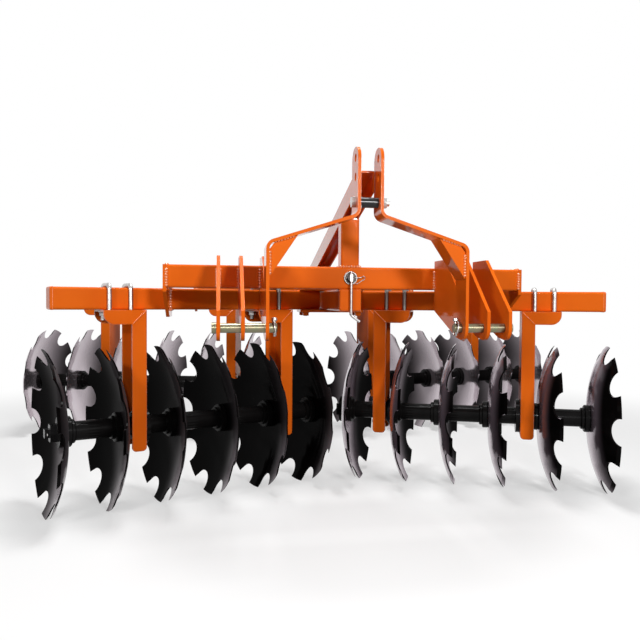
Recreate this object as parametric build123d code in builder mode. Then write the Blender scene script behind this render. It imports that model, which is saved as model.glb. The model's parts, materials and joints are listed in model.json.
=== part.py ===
"""Tandem disc harrow for a three-point linkage, standing on its discs.

X runs across the machine, +X to the right seen from the front (hitch) side.
-Y is the hitch side, +Y the rear, +Z up.  The floor is Z = 0.
"""
import os
from math import cos, pi, radians, sin, sqrt, tan

from build123d import *

os.makedirs("parts", exist_ok=True)

# Discs
disc_d = 558.8          # 22 in blades
disc_thk = 5.0
disc_flat_d = 116.0     # flat centre that the spools clamp
dish_depth = 58.0       # rim plane in front of the flat centre
notch_count = 10
notch_r = 47.0
notch_centre_in = 3.0   # notch centre inside the rim circle
bevel_w = 12.0          # ground band along the rim, on the hollow's back
edge_thk = 1.5          # left standing at the rim
discs_per_gang = 6

# Gang axle and spools
axle_sq = 28.6
axle_fit = 0.2          # play of the square holes, each side
spool_d = 66.0
hub_d = 104.0
hub_step_d = 82.0
hub_len = 34.0          # wide ring and step at each end of a spool
hub_ring_part = 0.64    # of that length, the wide ring
hub_clear = 6.0         # least room between a hub and a hanger or bearing
hub_chamfer = 3.0
bumper_thk = 24.0       # inner end casting
end_washer_thk = 14.0
nut_af = 57.0
nut_thk = 26.0
stub_out = 16.0         # axle end past its nut

# Gangs: apex of the axle lines on the centre plane, angle, first disc, pitch
front_angle = 22.0
front_pitch = 190.5     # 7.5 in
front_first = 82.0
rear_angle = 14.0
rear_pitch = 228.6      # 9 in
rear_first = 320.0

# Square tubes
tube = 76.2             # 3 in
wall = 6.35
tube_r = 8.0            # outside corner
cap_thk = 8.0           # closed tube ends
cap_r = 5.0
beam_bottom = 690.0
tube_to_outer_hanger = 63.0  # upper tube's end plate to the hanger outside it
tube_past_inner_hanger = 60.0    # rear tube past the arm of the hanger inside it

# Lengthwise places, measured back from the lower hitch pins
y_pin = -1071.6
tube_back = 270.0       # front face of the upper tube
front_apex_back = 750.0
rear_apex_back = 1570.0
rear_tube_ahead = 130.0     # front face of the rear tube, ahead of the rear apex
centre_proud = 4.0      # centre beam's front end ahead of the upper tube
centre_past = 25.0      # its rear end past the rear joint plate

# Gang beams, measured along the beam from the centre plane
beam_inner = 62.0
front_beam_outer = 1082.0
rear_beam_outer = 1250.0

# Hangers
hanger_w = 140.0
hanger_depth = 50.0
hanger_wall = 7.0
hanger_arm = 145.0
hanger_low = 200.0
hanger_bend_r = 38.0    # rounded lower corner of the arm
hanger_foot_r = 14.0    # rounded corners of the lower end
front_web_off = 116.0   # web outside the inner disc of its bay
rear_web_off = 28.0
bearing_flange_d = 122.0
bearing_flange_thk = 12.0
bearing_boss_d = 92.0
bearing_len = 32.0
bearing_play = 0.05
web_hole_d = 80.0
cover_d = 128.0         # ring on the other face of the web, where there is room
cover_thk = 16.0

# Clamping bolts round the beams
rod_d = 16.0
rod_gap = 0.15          # rod off the beam
rod_low = 652.0         # lower ends
rod_places = (48.0, 120.0)   # along the arm from the web

# Hitch
pin_z = 643.0
pin_d = 28.6
pin_fit = 0.15
plate_thk = 11.0
plate_x = (306.0, 377.0, 448.0)   # mid planes: mast leg, middle, outer
plate_nose_r = 38.0
plate_over = 24.0       # above the tube
plate_top_front = 155.0 # front corner of the top edge, behind the pin
plate_heel_z = 694.0    # rear lower corner
end_plate_thk = 12.0
end_plate_low = 665.0
seat = 0.15             # play round a tube that passes through a plate

pin_past = 26.0         # inner end past the mast leg
pin_head_d = 33.0
pin_head_thk = 14.0

# Joint plates over and under the inner ends of the gang beams
joint_thk = 10.0
joint_half = 128.0
joint_deep = 150.0
joint_front_ahead = 44.0     # middle of the front plates, ahead of the front apex
joint_rear_past = 26.0  # middle of the rear plates, behind the rear apex

# Mast
gusset_in = 84.0        # from the leg toward the centre
gusset_down = 102.0     # below the knee
gusset_thk = 8.0
gusset_recess = 8.0
mast_gap = 60.0         # clear between the straps
strap_thk = 10.0
strap_w = 92.0          # fore and aft
strap_edge = 33.0       # strap above its top hole
strap_bend_r = 25.0     # middle line of both bends
knee_z = 895.0          # outer bend
neck_under = 41.0       # inner bend below the quick-hitch bolt
top_holes_z = (1100.0, 1158.0)
top_hole_d = 25.4
quick_z = 1024.0
quick_d = 19.0
bushing_d = 31.75
post_sq = 64.0
brace_w = 58.0
brace_h = 64.0
brace_wall = 6.0
brace_top_z = 1129.0
brace_front_back = 44.0 # front end behind the pins
brace_slope = 13.0      # degrees below level, going back

# Locking pin in the upper tube
lock_d = 25.0
lock_washer_d = 46.0
lock_proud = 16.0
lock_washer_thk = 6.0
handle_d = 9.5
handle_low = 128.0      # bend below the pin

axle_z = disc_d / 2
strap_top_z = top_holes_z[-1] + strap_edge
neck_z = quick_z - neck_under
rod_bend_r = rod_d / 2 + rod_gap + tube_r
beam_top = beam_bottom + tube
hanger_bays = (0, 3)    # disc inside of each hanger, counted from the centre
front_a = radians(front_angle)
rear_a = radians(rear_angle)
outer_web = front_first + hanger_bays[1] * front_pitch + disc_thk + front_web_off
inner_arm = rear_first + hanger_bays[0] * rear_pitch + disc_thk + rear_web_off + hanger_arm
upper_half = outer_web * cos(front_a) - hanger_w / 2 * sin(front_a) - tube_to_outer_hanger - end_plate_thk
rear_tube_half = inner_arm * cos(rear_a) + hanger_w / 2 * sin(rear_a) + tube_past_inner_hanger
rear_tube_back = rear_apex_back - rear_tube_ahead
joint_front_back = front_apex_back - joint_front_ahead
joint_rear_back = rear_apex_back + joint_rear_past
centre_back = tube_back - centre_proud
centre_len = joint_rear_back + joint_deep / 2 + centre_past - centre_back
side_names = (("right", 1), ("left", -1))


def gang_plane(apex_back, angle, z):
    """Plane of a right-hand gang: X outward along the gang, Y rearward, Z up."""
    a = radians(angle)
    return Plane(origin=(0, y_pin + apex_back, z), x_dir=(cos(a), sin(a), 0), z_dir=(0, 0, 1))


def finish(part, name):
    """Label a piece and write it."""
    part.label = name
    export_step(part, "parts/" + name + ".step")


def both_sides(right, stem):
    """Write a right-hand piece and its mirror image."""
    finish(right, stem + "_right")
    with BuildPart() as left:
        add(mirror(right, about=Plane.YZ))
    finish(left.part, stem + "_left")


# name, apex behind the pins, angle to the X axis, first disc, pitch, rim side, web place
gang_table = (
    ("front", front_apex_back, -front_angle, front_first, front_pitch, 1, front_web_off, front_beam_outer,
     (0, 0, 0, 0, 90, 0)),
    ("rear", rear_apex_back, rear_angle, rear_first, rear_pitch, -1, rear_web_off, rear_beam_outer,
     (0, 90, 0, 0, 0, 90)),
)


def hub_steps(face, way, room):
    """Corners of one spool end from its face to the tube, as (along, radius)."""
    length = min(hub_len, room - hub_clear)
    ring = length * hub_ring_part
    c = hub_chamfer
    corners = ((0, hub_d / 2 - c), (c, hub_d / 2), (ring - c, hub_d / 2), (ring, hub_d / 2 - c), (ring, hub_step_d / 2),
               (length - c, hub_step_d / 2), (length, hub_step_d / 2 - c), (length, spool_d / 2))
    return [(face + way * out, radius) for out, radius in corners]


# One blade, axis on Z, hollow side up
arc_r = ((disc_d / 2 - disc_flat_d / 2) ** 2 + dish_depth ** 2) / (2 * dish_depth)
with BuildPart() as blade:
    with BuildSketch(Plane.XZ) as section:
        with BuildLine() as outline:
            f = disc_flat_d / 2
            r = disc_d / 2
            bevel_start = (r - bevel_w, arc_r - sqrt(arc_r ** 2 - (r - bevel_w - f) ** 2))
            upper_rim = (r, arc_r - sqrt((arc_r - disc_thk) ** 2 - (r - f) ** 2))
            Line((0, 0), (f, 0))
            RadiusArc((f, 0), bevel_start, -arc_r)
            Line(bevel_start, (r, upper_rim[1] - edge_thk))
            Line((r, upper_rim[1] - edge_thk), upper_rim)
            RadiusArc(upper_rim, (f, disc_thk), arc_r - disc_thk)
            Line((f, disc_thk), (0, disc_thk))
            Line((0, disc_thk), (0, 0))
        make_face()
    revolve(axis=Axis.Z)
    with BuildSketch(Plane.XY.offset(-10)) as notches:
        with PolarLocations(disc_d / 2 - notch_centre_in, notch_count, start_angle=90 + 180 / notch_count):
            Circle(notch_r)
    extrude(amount=dish_depth + 40, mode=Mode.SUBTRACT)
    with BuildSketch(Plane.XY.offset(-10)) as square_hole:
        Rectangle(axle_sq + 2 * axle_fit, axle_sq + 2 * axle_fit)
    extrude(amount=40, mode=Mode.SUBTRACT)

for (end, apex, angle, first, pitch, rim, web_off, beam_outer, phases) in gang_table:
    axis = gang_plane(apex, angle, axle_z)
    # plane whose Z runs outward along the gang and whose Y is up
    along = Plane(origin=axis.origin, x_dir=axis.y_dir, z_dir=axis.x_dir)
    last = first + (discs_per_gang - 1) * pitch

    with BuildPart() as discs:
        for i, phase in enumerate(phases):
            t = first + i * pitch
            flip = 0 if rim > 0 else 180
            place = along.location * Location((0, 0, t + (0 if rim > 0 else disc_thk)))
            with Locations(place * Location((0, 0, 0), (0, flip, 0)) * Location((0, 0, 0), (0, 0, phase))):
                add(blade.part)
    both_sides(discs.part, "discs_" + end)

    # spools between the discs, the inner bumper and the outer washer
    with BuildPart() as spools:
        for i in range(discs_per_gang - 1):
            low = first + i * pitch + disc_thk
            high = first + (i + 1) * pitch
            # room beside this bay's hanger, inward of its web and outward of its bearing
            inward = web_off if i in hanger_bays else pitch
            outward = pitch - disc_thk - web_off - hanger_wall - bearing_len if i in hanger_bays else pitch
            with BuildSketch(Plane(origin=axis.origin, x_dir=axis.x_dir, z_dir=axis.y_dir)) as half:
                with BuildLine():
                    Polyline([(low, 0)] + hub_steps(low, 1, inward) + hub_steps(high, -1, outward)[::-1] + [(high, 0)], close=True)
                make_face()
            revolve(axis=Axis(axis.origin, axis.x_dir))
        for low, high in ((first - bumper_thk, first), (last + disc_thk, last + disc_thk + end_washer_thk)):
            with BuildSketch(along.offset(low)):
                Circle(hub_d / 2)
            extrude(amount=high - low)
        with BuildSketch(along.offset(first - bumper_thk - 1)):
            Rectangle(axle_sq + 2 * axle_fit, axle_sq + 2 * axle_fit)
        extrude(amount=last - first + bumper_thk + disc_thk + end_washer_thk + 2, mode=Mode.SUBTRACT)
    both_sides(spools.part, "spools_" + end)

    # square axle with its end nuts
    with BuildPart() as axle:
        inner = first - bumper_thk
        outer = last + disc_thk + end_washer_thk
        with BuildSketch(along.offset(inner)):
            Rectangle(axle_sq, axle_sq)
        extrude(amount=outer + nut_thk + stub_out - inner)
        with BuildSketch(along.offset(inner - 14)):
            Rectangle(46, 46)
        extrude(amount=14)
        with BuildSketch(along.offset(outer)):
            RegularPolygon(nut_af / 2, 6, major_radius=False)
        extrude(amount=nut_thk)
    both_sides(axle.part, "axle_" + end)

    # gang beam
    beam = gang_plane(apex, angle, beam_bottom + tube / 2)
    cross = Plane(origin=beam.origin, x_dir=beam.y_dir, z_dir=beam.x_dir)
    with BuildPart() as gang_beam:
        with BuildSketch(cross.offset(beam_inner)):
            RectangleRounded(tube, tube, tube_r)
        extrude(amount=beam_outer - beam_inner)
        fillet(gang_beam.faces().sort_by(Axis(beam.origin, beam.x_dir))[-1].edges(), radius=cap_r)
        with BuildSketch(cross.offset(beam_inner + cap_thk)):
            RectangleRounded(tube - 2 * wall, tube - 2 * wall, tube_r - wall + 0.5)
        extrude(amount=beam_outer - beam_inner - 2 * cap_thk, mode=Mode.SUBTRACT)
    both_sides(gang_beam.part, "gang_beam_" + end)

    # hangers: bent channel, web across the gang, open side outward
    with BuildPart() as hangers:
        for bay in hanger_bays:
            web = first + bay * pitch + disc_thk + web_off
            side = gang_plane(apex, angle, 0)
            upright = Plane(origin=side.origin, x_dir=side.x_dir, z_dir=-side.y_dir)
            with BuildSketch(upright.offset(-hanger_w / 2)) as ell:
                with BuildLine():
                    Polyline((web, hanger_low), (web + hanger_depth, hanger_low),
                             (web + hanger_depth, beam_bottom - hanger_depth),
                             (web + hanger_arm - hanger_bend_r, beam_bottom - hanger_depth))
                    RadiusArc((web + hanger_arm - hanger_bend_r, beam_bottom - hanger_depth),
                              (web + hanger_arm, beam_bottom - hanger_depth + hanger_bend_r), -hanger_bend_r)
                    Polyline((web + hanger_arm, beam_bottom - hanger_depth + hanger_bend_r),
                             (web + hanger_arm, beam_bottom), (web, beam_bottom), (web, hanger_low))
                make_face()
                fillet(ell.vertices().group_by(Axis.Y)[0], radius=hanger_foot_r)
            extrude(amount=hanger_w)
        for bay in hanger_bays:
            web = first + bay * pitch + disc_thk + web_off
            inside = hanger_w - 2 * hanger_wall
            with BuildSketch(upright.offset(-inside / 2)):
                with BuildLine():
                    Polyline((web + hanger_wall, hanger_low - 5), (web + hanger_arm + 5, hanger_low - 5),
                             (web + hanger_arm + 5, beam_bottom - hanger_wall),
                             (web + hanger_wall, beam_bottom - hanger_wall), close=True)
                make_face()
            extrude(amount=inside, mode=Mode.SUBTRACT)
            with BuildSketch(along.offset(web - 5)):
                Circle(web_hole_d / 2)
            extrude(amount=hanger_wall + 10, mode=Mode.SUBTRACT)
            with BuildSketch(gang_plane(apex, angle, beam_bottom - hanger_wall - 5)):
                for place in rod_places:
                    with Locations((web + place, tube / 2 + rod_gap + rod_d / 2),
                                   (web + place, -tube / 2 - rod_gap - rod_d / 2)):
                        Circle(rod_d / 2 + seat)
            extrude(amount=hanger_wall + 10, mode=Mode.SUBTRACT)
    both_sides(hangers.part, "hangers_" + end)

    # flanged bearings inside the channels
    with BuildPart() as bearings:
        for bay in hanger_bays:
            web = first + bay * pitch + disc_thk + web_off + hanger_wall
            with BuildSketch(along.offset(web)):
                Circle(bearing_flange_d / 2)
            extrude(amount=bearing_flange_thk)
            with BuildSketch(along.offset(web + bearing_flange_thk)):
                Circle(bearing_boss_d / 2)
            extrude(amount=bearing_len - bearing_flange_thk)
            start = web - 1
            if bay == hanger_bays[-1] and web_off - hub_len > cover_thk + hub_clear:
                with BuildSketch(along.offset(web - hanger_wall - cover_thk)):
                    Circle(cover_d / 2)
                extrude(amount=cover_thk)
                start = web - hanger_wall - cover_thk - 1
            with BuildSketch(along.offset(start)):
                Circle(spool_d / 2 + bearing_play)
            extrude(amount=web + bearing_len + 1 - start, mode=Mode.SUBTRACT)
    both_sides(bearings.part, "bearings_" + end)

    # clamping rods over the beam, threaded ends below the arm
    reach = tube / 2 + rod_gap + rod_d / 2
    rod_top = beam_top + rod_gap + rod_d / 2
    with BuildPart() as rods:
        for bay in hanger_bays:
            web = first + bay * pitch + disc_thk + web_off
            for place in rod_places:
                station = gang_plane(apex, angle, 0)
                hoop = Plane(origin=station.from_local_coords((web + place, 0, 0)), x_dir=station.y_dir,
                             z_dir=station.x_dir)
                with BuildLine(hoop) as path:
                    FilletPolyline((-reach, rod_low), (-reach, rod_top), (reach, rod_top), (reach, rod_low),
                                   radius=rod_bend_r)
                with BuildSketch(Plane(origin=hoop.from_local_coords((-reach, rod_low, 0)), z_dir=(0, 0, 1))):
                    Circle(rod_d / 2)
                sweep(path=path.wires()[0])
    both_sides(rods.part, "beam_clamps_" + end)

# Upper and rear cross tubes on top of the centre beam, closed at the ends
for name, back, half in (("upper_cross_tube", tube_back, upper_half), ("rear_cross_tube", rear_tube_back, rear_tube_half)):
    with BuildPart() as cross_tube:
        with BuildSketch(Plane.YZ.offset(-half)):
            with Locations((y_pin + back + tube / 2, beam_top + tube / 2)):
                RectangleRounded(tube, tube, tube_r)
        extrude(amount=2 * half)
        with BuildSketch(Plane.YZ.offset(-half + cap_thk)):
            with Locations((y_pin + back + tube / 2, beam_top + tube / 2)):
                RectangleRounded(tube - 2 * wall, tube - 2 * wall, tube_r - wall + 0.5)
        extrude(amount=2 * (half - cap_thk), mode=Mode.SUBTRACT)
        if back == tube_back:
            with BuildSketch(Plane.XZ.offset(-(y_pin + back - 5))):
                with Locations((0, beam_top + tube / 2)):
                    Circle(lock_d / 2 + seat)
            extrude(amount=-(tube + 10), mode=Mode.SUBTRACT)
    finish(cross_tube.part, name)

# Centre beam
with BuildPart() as centre_beam:
    with BuildSketch(Plane.XZ.offset(-(y_pin + centre_back))):
        with Locations((0, beam_bottom + tube / 2)):
            RectangleRounded(tube, tube, tube_r)
    extrude(amount=-centre_len)
    fillet(centre_beam.faces().sort_by(Axis.Y)[0].edges(), radius=cap_r)
    with BuildSketch(Plane.XZ.offset(-(y_pin + centre_back + cap_thk))):
        with Locations((0, beam_bottom + tube / 2)):
            RectangleRounded(tube - 2 * wall, tube - 2 * wall, tube_r - wall + 0.5)
    extrude(amount=-(centre_len - 2 * cap_thk), mode=Mode.SUBTRACT)
finish(centre_beam.part, "centre_beam")

# End plates: close the cross tube and carry the gang beam that passes through
# end, back of the tube, half length, apex and angle of the gang, plate behind the beam
end_plate_table = (
    ("front", tube_back, upper_half, front_apex_back, -front_a, 8),
    ("rear", rear_tube_back, rear_tube_half, rear_apex_back, rear_a, 20),
)
for end, back, half, apex, a, rim in end_plate_table:
    beam = gang_plane(apex, a * 180 / pi, beam_bottom + tube / 2)
    mid = apex - back + half * tan(a)
    near = mid - tube / 2 / cos(a)
    far = mid + tube / 2 / cos(a) + rim
    tube_top = beam_top + tube
    corners = ((0, tube_top), (tube + 8, tube_top), (far, beam_top + 22), (far, end_plate_low + 13), (far - 14, end_plate_low),
               (near - tube / 2, end_plate_low), (0, beam_top - 14))
    with BuildPart() as end_plates:
        with BuildSketch(Plane.YZ.offset(half)):
            with BuildLine():
                Polyline([(y_pin + back + b, z) for b, z in corners], close=True)
            make_face()
        extrude(amount=end_plate_thk)
        with BuildSketch(Plane(origin=beam.origin, x_dir=beam.y_dir, z_dir=beam.x_dir).offset(beam_inner)):
            RectangleRounded(tube + 2 * seat, tube + 2 * seat, tube_r + seat)
        extrude(amount=(half + 2 * end_plate_thk) / cos(a) - beam_inner + tube, mode=Mode.SUBTRACT)
        mirror(about=Plane.YZ)
    finish(end_plates.part, "end_plates_" + end)

# Joint plates that clamp the inner beam ends to the centre beam
# behind the pins, underside
joint_table = (
    (joint_front_back, beam_bottom - joint_thk),
    (joint_front_back, beam_top),
    (joint_rear_back, beam_bottom - joint_thk),
    (joint_rear_back, beam_top),
)
with BuildPart() as joint_plates:
    for back, z in joint_table:
        with BuildSketch(Plane.XY.offset(z)):
            with Locations((0, y_pin + back)):
                RectangleRounded(2 * joint_half, joint_deep, 14)
        extrude(amount=joint_thk)
finish(joint_plates.part, "joint_plates")

# Side outline of a hitch plate, as (behind the pin, height)
nose_low = pin_z - plate_nose_r
plate_outline = (
    (-plate_nose_r, pin_z), (-plate_nose_r, pin_z + 52), (plate_top_front, beam_top + tube + plate_over),
    (tube_back, beam_top + tube + plate_over), (tube_back, plate_heel_z), (plate_nose_r + 6, nose_low + 6), (0, nose_low),
)


# One hitch plate seen from the side, X running rearward and Y up
with BuildSketch() as plate_sketch:
    with BuildLine():
        Polyline([(y_pin + b, z) for b, z in plate_outline])
        RadiusArc((y_pin, nose_low), (y_pin - plate_nose_r, pin_z), plate_nose_r)
    make_face()

for side, sign in side_names:
    with BuildPart() as plates:
        for x in plate_x[1:]:
            with BuildSketch(Plane.YZ.offset(sign * x - plate_thk / 2)) as outline:
                add(plate_sketch.sketch)
            extrude(amount=plate_thk)
        with BuildSketch(Plane.YZ.offset(sign * (plate_x[1] - plate_thk))):
            with Locations((y_pin, pin_z)):
                Circle(pin_d / 2 + pin_fit)
        extrude(amount=sign * (plate_x[2] - plate_x[1] + 2 * plate_thk), mode=Mode.SUBTRACT)
    finish(plates.part, "hitch_plates_" + side)

# Mast legs: plate down to the pin, bent strap up to the top link
strap_x = mast_gap / 2 + strap_thk / 2
leg_x = plate_x[0]
with BuildPart() as mast_leg:
    with BuildSketch(Plane.XZ.offset(-(y_pin - plate_nose_r))) as bent:
        with BuildLine() as bend_line:
            FilletPolyline((leg_x, pin_z), (leg_x, knee_z), (strap_x, neck_z), (strap_x, strap_top_z), radius=strap_bend_r)
        trace(line_width=strap_thk)
    extrude(amount=-strap_w)
    tops = mast_leg.faces().sort_by(Axis.Z)[-1].edges().filter_by(Axis.X)
    fillet(tops, radius=strap_w / 2 - 6)
    with BuildSketch(Plane.YZ.offset(leg_x - strap_thk / 2)):
        add(plate_sketch.sketch)
    extrude(amount=strap_thk)
    with BuildSketch(Plane.YZ.offset(leg_x - 20)):
        with Locations((y_pin, pin_z)):
            Circle(pin_d / 2 + pin_fit)
    extrude(amount=40, mode=Mode.SUBTRACT)
    with BuildSketch(Plane.YZ):
        for z in top_holes_z:
            with Locations((y_pin, z)):
                Circle(top_hole_d / 2)
        with Locations((y_pin, quick_z)):
            Circle(quick_d / 2 + pin_fit)
    extrude(amount=100, mode=Mode.SUBTRACT)
both_sides(mast_leg.part, "mast_leg")

# Box gussets inside the outer bends
slope = (neck_z - knee_z) / (leg_x - strap_x)
corner_x = leg_x - strap_thk / 2
corner_z = knee_z - strap_thk / 2 * sqrt(1 + slope ** 2) + strap_thk / 2 * slope
cut = 16.0
low_corner = (corner_x, knee_z - gusset_down)
high_corner = (corner_x - gusset_in, corner_z + gusset_in * slope)
with BuildPart() as gussets:
    with BuildSketch(Plane.XZ.offset(-(y_pin - plate_nose_r + gusset_recess))):
        with BuildLine():
            Polyline(low_corner, (corner_x, corner_z - cut), (corner_x - cut, corner_z + cut * slope), high_corner, close=True)
        make_face()
    extrude(amount=-gusset_thk)
    with BuildSketch(Plane.XZ.offset(-(y_pin - plate_nose_r + gusset_recess + gusset_thk))):
        with BuildLine():
            Polyline(low_corner, (corner_x, low_corner[1] + 20), (high_corner[0] + 12, high_corner[1] - 12 * slope), high_corner,
                     close=True)
        make_face()
    extrude(amount=-(strap_w - gusset_recess - gusset_thk))
    mirror(about=Plane.YZ)
finish(gussets.part, "mast_gussets")

# Brace: channel, open below, from between the straps to the rear tube
fall = tan(radians(brace_slope))
brace_foot = rear_tube_back - brace_front_back
drop = brace_h / cos(radians(brace_slope))
with BuildPart() as brace:
    with BuildSketch(Plane.YZ.offset(-brace_w / 2)):
        with BuildLine():
            Polyline((y_pin + brace_front_back, brace_top_z), (y_pin + rear_tube_back, brace_top_z - brace_foot * fall),
                     (y_pin + rear_tube_back, beam_top),
                     (y_pin + brace_front_back + (brace_top_z - drop - beam_top) / fall, beam_top),
                     (y_pin + brace_front_back, brace_top_z - drop), close=True)
        make_face()
    extrude(amount=brace_w)
    with BuildSketch(Plane.YZ.offset(-brace_w / 2 + brace_wall)):
        with BuildLine():
            web = brace_wall / cos(radians(brace_slope))
            Polyline((y_pin, brace_top_z - web + brace_front_back * fall),
                     (y_pin + rear_tube_back + 50, brace_top_z - web - (brace_foot + 50) * fall),
                     (y_pin + rear_tube_back + 50, beam_top - 50), (y_pin, beam_top - 50), close=True)
        make_face()
    extrude(amount=brace_w - 2 * brace_wall, mode=Mode.SUBTRACT)
finish(brace.part, "rear_brace")

# Post on the upper tube, cut to the slope of the brace
post_mid = tube_back + tube / 2


def brace_under(back):
    """Height of the lower edge of the brace at a place behind the pins."""
    return brace_top_z - drop - (back - brace_front_back) * fall


with BuildPart() as post:
    with BuildSketch(Plane.XY.offset(beam_top + tube)):
        with Locations((0, y_pin + post_mid)):
            RectangleRounded(post_sq, post_sq, 7)
            RectangleRounded(post_sq - 10, post_sq - 10, 3, mode=Mode.SUBTRACT)
    extrude(amount=300)
    with BuildSketch(Plane.YZ.offset(-60)):
        with BuildLine():
            Polyline((y_pin + post_mid - 80, brace_under(post_mid - 80)), (y_pin + post_mid + 80, brace_under(post_mid + 80)),
                     (y_pin + post_mid + 80, 1400), (y_pin + post_mid - 80, 1400), close=True)
        make_face()
    extrude(amount=120, mode=Mode.SUBTRACT)
finish(post.part, "mast_post")

# Quick-hitch bolt with its bushing
with BuildPart() as bolt:
    grip = mast_gap / 2 + strap_thk
    with BuildSketch(Plane.YZ.offset(-grip - 13)):
        with Locations((y_pin, quick_z)):
            RegularPolygon(15, 6, major_radius=False)
    extrude(amount=13)
    with BuildSketch(Plane.YZ.offset(-grip)):
        with Locations((y_pin, quick_z)):
            Circle(quick_d / 2)
    extrude(amount=2 * grip + 24)
    with BuildSketch(Plane.YZ.offset(grip)):
        with Locations((y_pin, quick_z)):
            RegularPolygon(15, 6, major_radius=False)
    extrude(amount=16)
finish(bolt.part, "quick_hitch_bolt")
with BuildPart() as bushing:
    with BuildSketch(Plane.YZ.offset(-mast_gap / 2)):
        with Locations((y_pin, quick_z)):
            Circle(bushing_d / 2)
            Circle(quick_d / 2 + pin_fit, mode=Mode.SUBTRACT)
    extrude(amount=mast_gap)
finish(bushing.part, "quick_hitch_bushing")

# Lower hitch pins, head outside
with BuildPart() as hitch_pin:
    outer_face = plate_x[2] + plate_thk / 2
    inner_face = plate_x[0] - strap_thk / 2
    with BuildSketch(Plane.YZ.offset(inner_face - pin_past)):
        with Locations((y_pin, pin_z)):
            Circle(pin_d / 2)
    extrude(amount=outer_face - inner_face + pin_past)
    chamfer(hitch_pin.faces().sort_by(Axis.X)[0].edges(), length=3)
    with BuildSketch(Plane.YZ.offset(outer_face)):
        with Locations((y_pin, pin_z)):
            Circle(pin_head_d / 2)
    extrude(amount=pin_head_thk)
both_sides(hitch_pin.part, "hitch_pin")

# Locking pin through the upper tube, with its hanging handle
with BuildPart() as lock_pin:
    mid_z = beam_top + tube / 2
    face_y = y_pin + tube_back
    with BuildSketch(Plane.XZ.offset(-face_y)):
        with Locations((0, mid_z)):
            Circle(lock_d / 2)
    extrude(amount=-(tube + 14))
    with BuildSketch(Plane.XZ.offset(-face_y)):
        with Locations((0, mid_z)):
            Circle(lock_washer_d / 2)
    extrude(amount=lock_washer_thk)
    with BuildSketch(Plane.XZ.offset(-(face_y - lock_washer_thk))):
        with Locations((0, mid_z)):
            Circle(lock_d / 2)
    extrude(amount=lock_proud)
    front_y = face_y - lock_washer_thk - lock_proud + 5
    with BuildLine() as handle:
        FilletPolyline((0, front_y, mid_z + 22), (0, front_y, mid_z - handle_low), (30, front_y, mid_z - handle_low - 22),
                       radius=14)
    with BuildSketch(Plane(origin=(0, front_y, mid_z + 22), z_dir=(0, 0, 1))):
        Circle(handle_d / 2)
    sweep(path=handle.wires()[0])
finish(lock_pin.part, "lock_pin")
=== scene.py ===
"""Studio scene of a lift-type tandem disc harrow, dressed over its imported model."""

import json
import logging
from dataclasses import dataclass
from enum import Enum
from math import cos, pi, radians, sin, tan
from typing import Any, Callable, ClassVar, Iterable, Sequence

import bpy
from mathutils import Matrix, Vector


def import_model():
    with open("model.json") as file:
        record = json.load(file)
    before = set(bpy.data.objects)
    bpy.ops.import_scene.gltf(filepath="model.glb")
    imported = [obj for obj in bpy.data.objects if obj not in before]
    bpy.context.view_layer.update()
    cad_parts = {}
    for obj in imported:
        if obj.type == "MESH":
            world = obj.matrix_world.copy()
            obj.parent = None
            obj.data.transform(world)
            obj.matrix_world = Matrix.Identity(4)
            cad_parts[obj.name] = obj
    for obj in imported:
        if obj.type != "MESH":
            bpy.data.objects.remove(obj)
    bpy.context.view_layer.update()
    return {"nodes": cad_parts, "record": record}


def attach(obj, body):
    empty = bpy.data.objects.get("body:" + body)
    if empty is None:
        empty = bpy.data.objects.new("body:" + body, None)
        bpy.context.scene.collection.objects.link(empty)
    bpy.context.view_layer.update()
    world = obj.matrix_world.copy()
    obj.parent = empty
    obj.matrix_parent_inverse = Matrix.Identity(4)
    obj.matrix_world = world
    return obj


LOG = logging.getLogger("harrow")
Piece = bpy.types.Object
Material = bpy.types.Material
Socket = bpy.types.NodeSocket
Colour = tuple[float, float, float]
Point = tuple[float, float, float]
WHITE: Colour = (1.0, 1.0, 1.0)
UP = Vector((0.0, 0.0, 1.0))
RIGHT = Vector((1.0, 0.0, 0.0))


class Side(Enum):
    """The two halves of the machine."""

    LEFT = -1
    RIGHT = 1


class End(Enum):
    """The two pairs of gangs."""

    FRONT = "front"
    REAR = "rear"


# Shader work


class Signal:
    """One shader value that takes part in sums, products and comparisons."""

    def __init__(self, tree: "Tree", socket: Socket) -> None:
        """Wrap a socket of a node tree."""
        self.tree = tree
        self.socket = socket

    def _math(self, operation: str, first: Any, second: Any = 0.0, clamp: bool = False) -> "Signal":
        """Return the result of one Math node, held between 0 and 1 if it is clamped."""
        inputs = {0: first, 1: second}
        node = self.tree.node("ShaderNodeMath", inputs, operation=operation, use_clamp=clamp)
        return Signal(self.tree, node.outputs[0])

    def __add__(self, other: Any) -> "Signal":
        """Return self + other."""
        return self._math("ADD", self, other)

    __radd__ = __add__

    def __sub__(self, other: Any) -> "Signal":
        """Return self - other."""
        return self._math("SUBTRACT", self, other)

    def __rsub__(self, other: Any) -> "Signal":
        """Return other - self."""
        return self._math("SUBTRACT", other, self)

    def __mul__(self, other: Any) -> "Signal":
        """Return self * other."""
        return self._math("MULTIPLY", self, other)

    __rmul__ = __mul__

    def __pow__(self, other: Any) -> "Signal":
        """Return self to the power of other."""
        return self._math("POWER", self, other)

    def clamped(self) -> "Signal":
        """Return self held between 0 and 1."""
        return self._math("ADD", self, 0.0, clamp=True)

    def ramp(self, low: float, high: float) -> "Signal":
        """Return a smooth step from 0 at low to 1 at high."""
        inputs = {0: self, 1: low, 2: high, 3: 0.0, 4: 1.0}
        node = self.tree.node("ShaderNodeMapRange", inputs, interpolation_type="SMOOTHSTEP")
        return Signal(self.tree, node.outputs[0])


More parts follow.
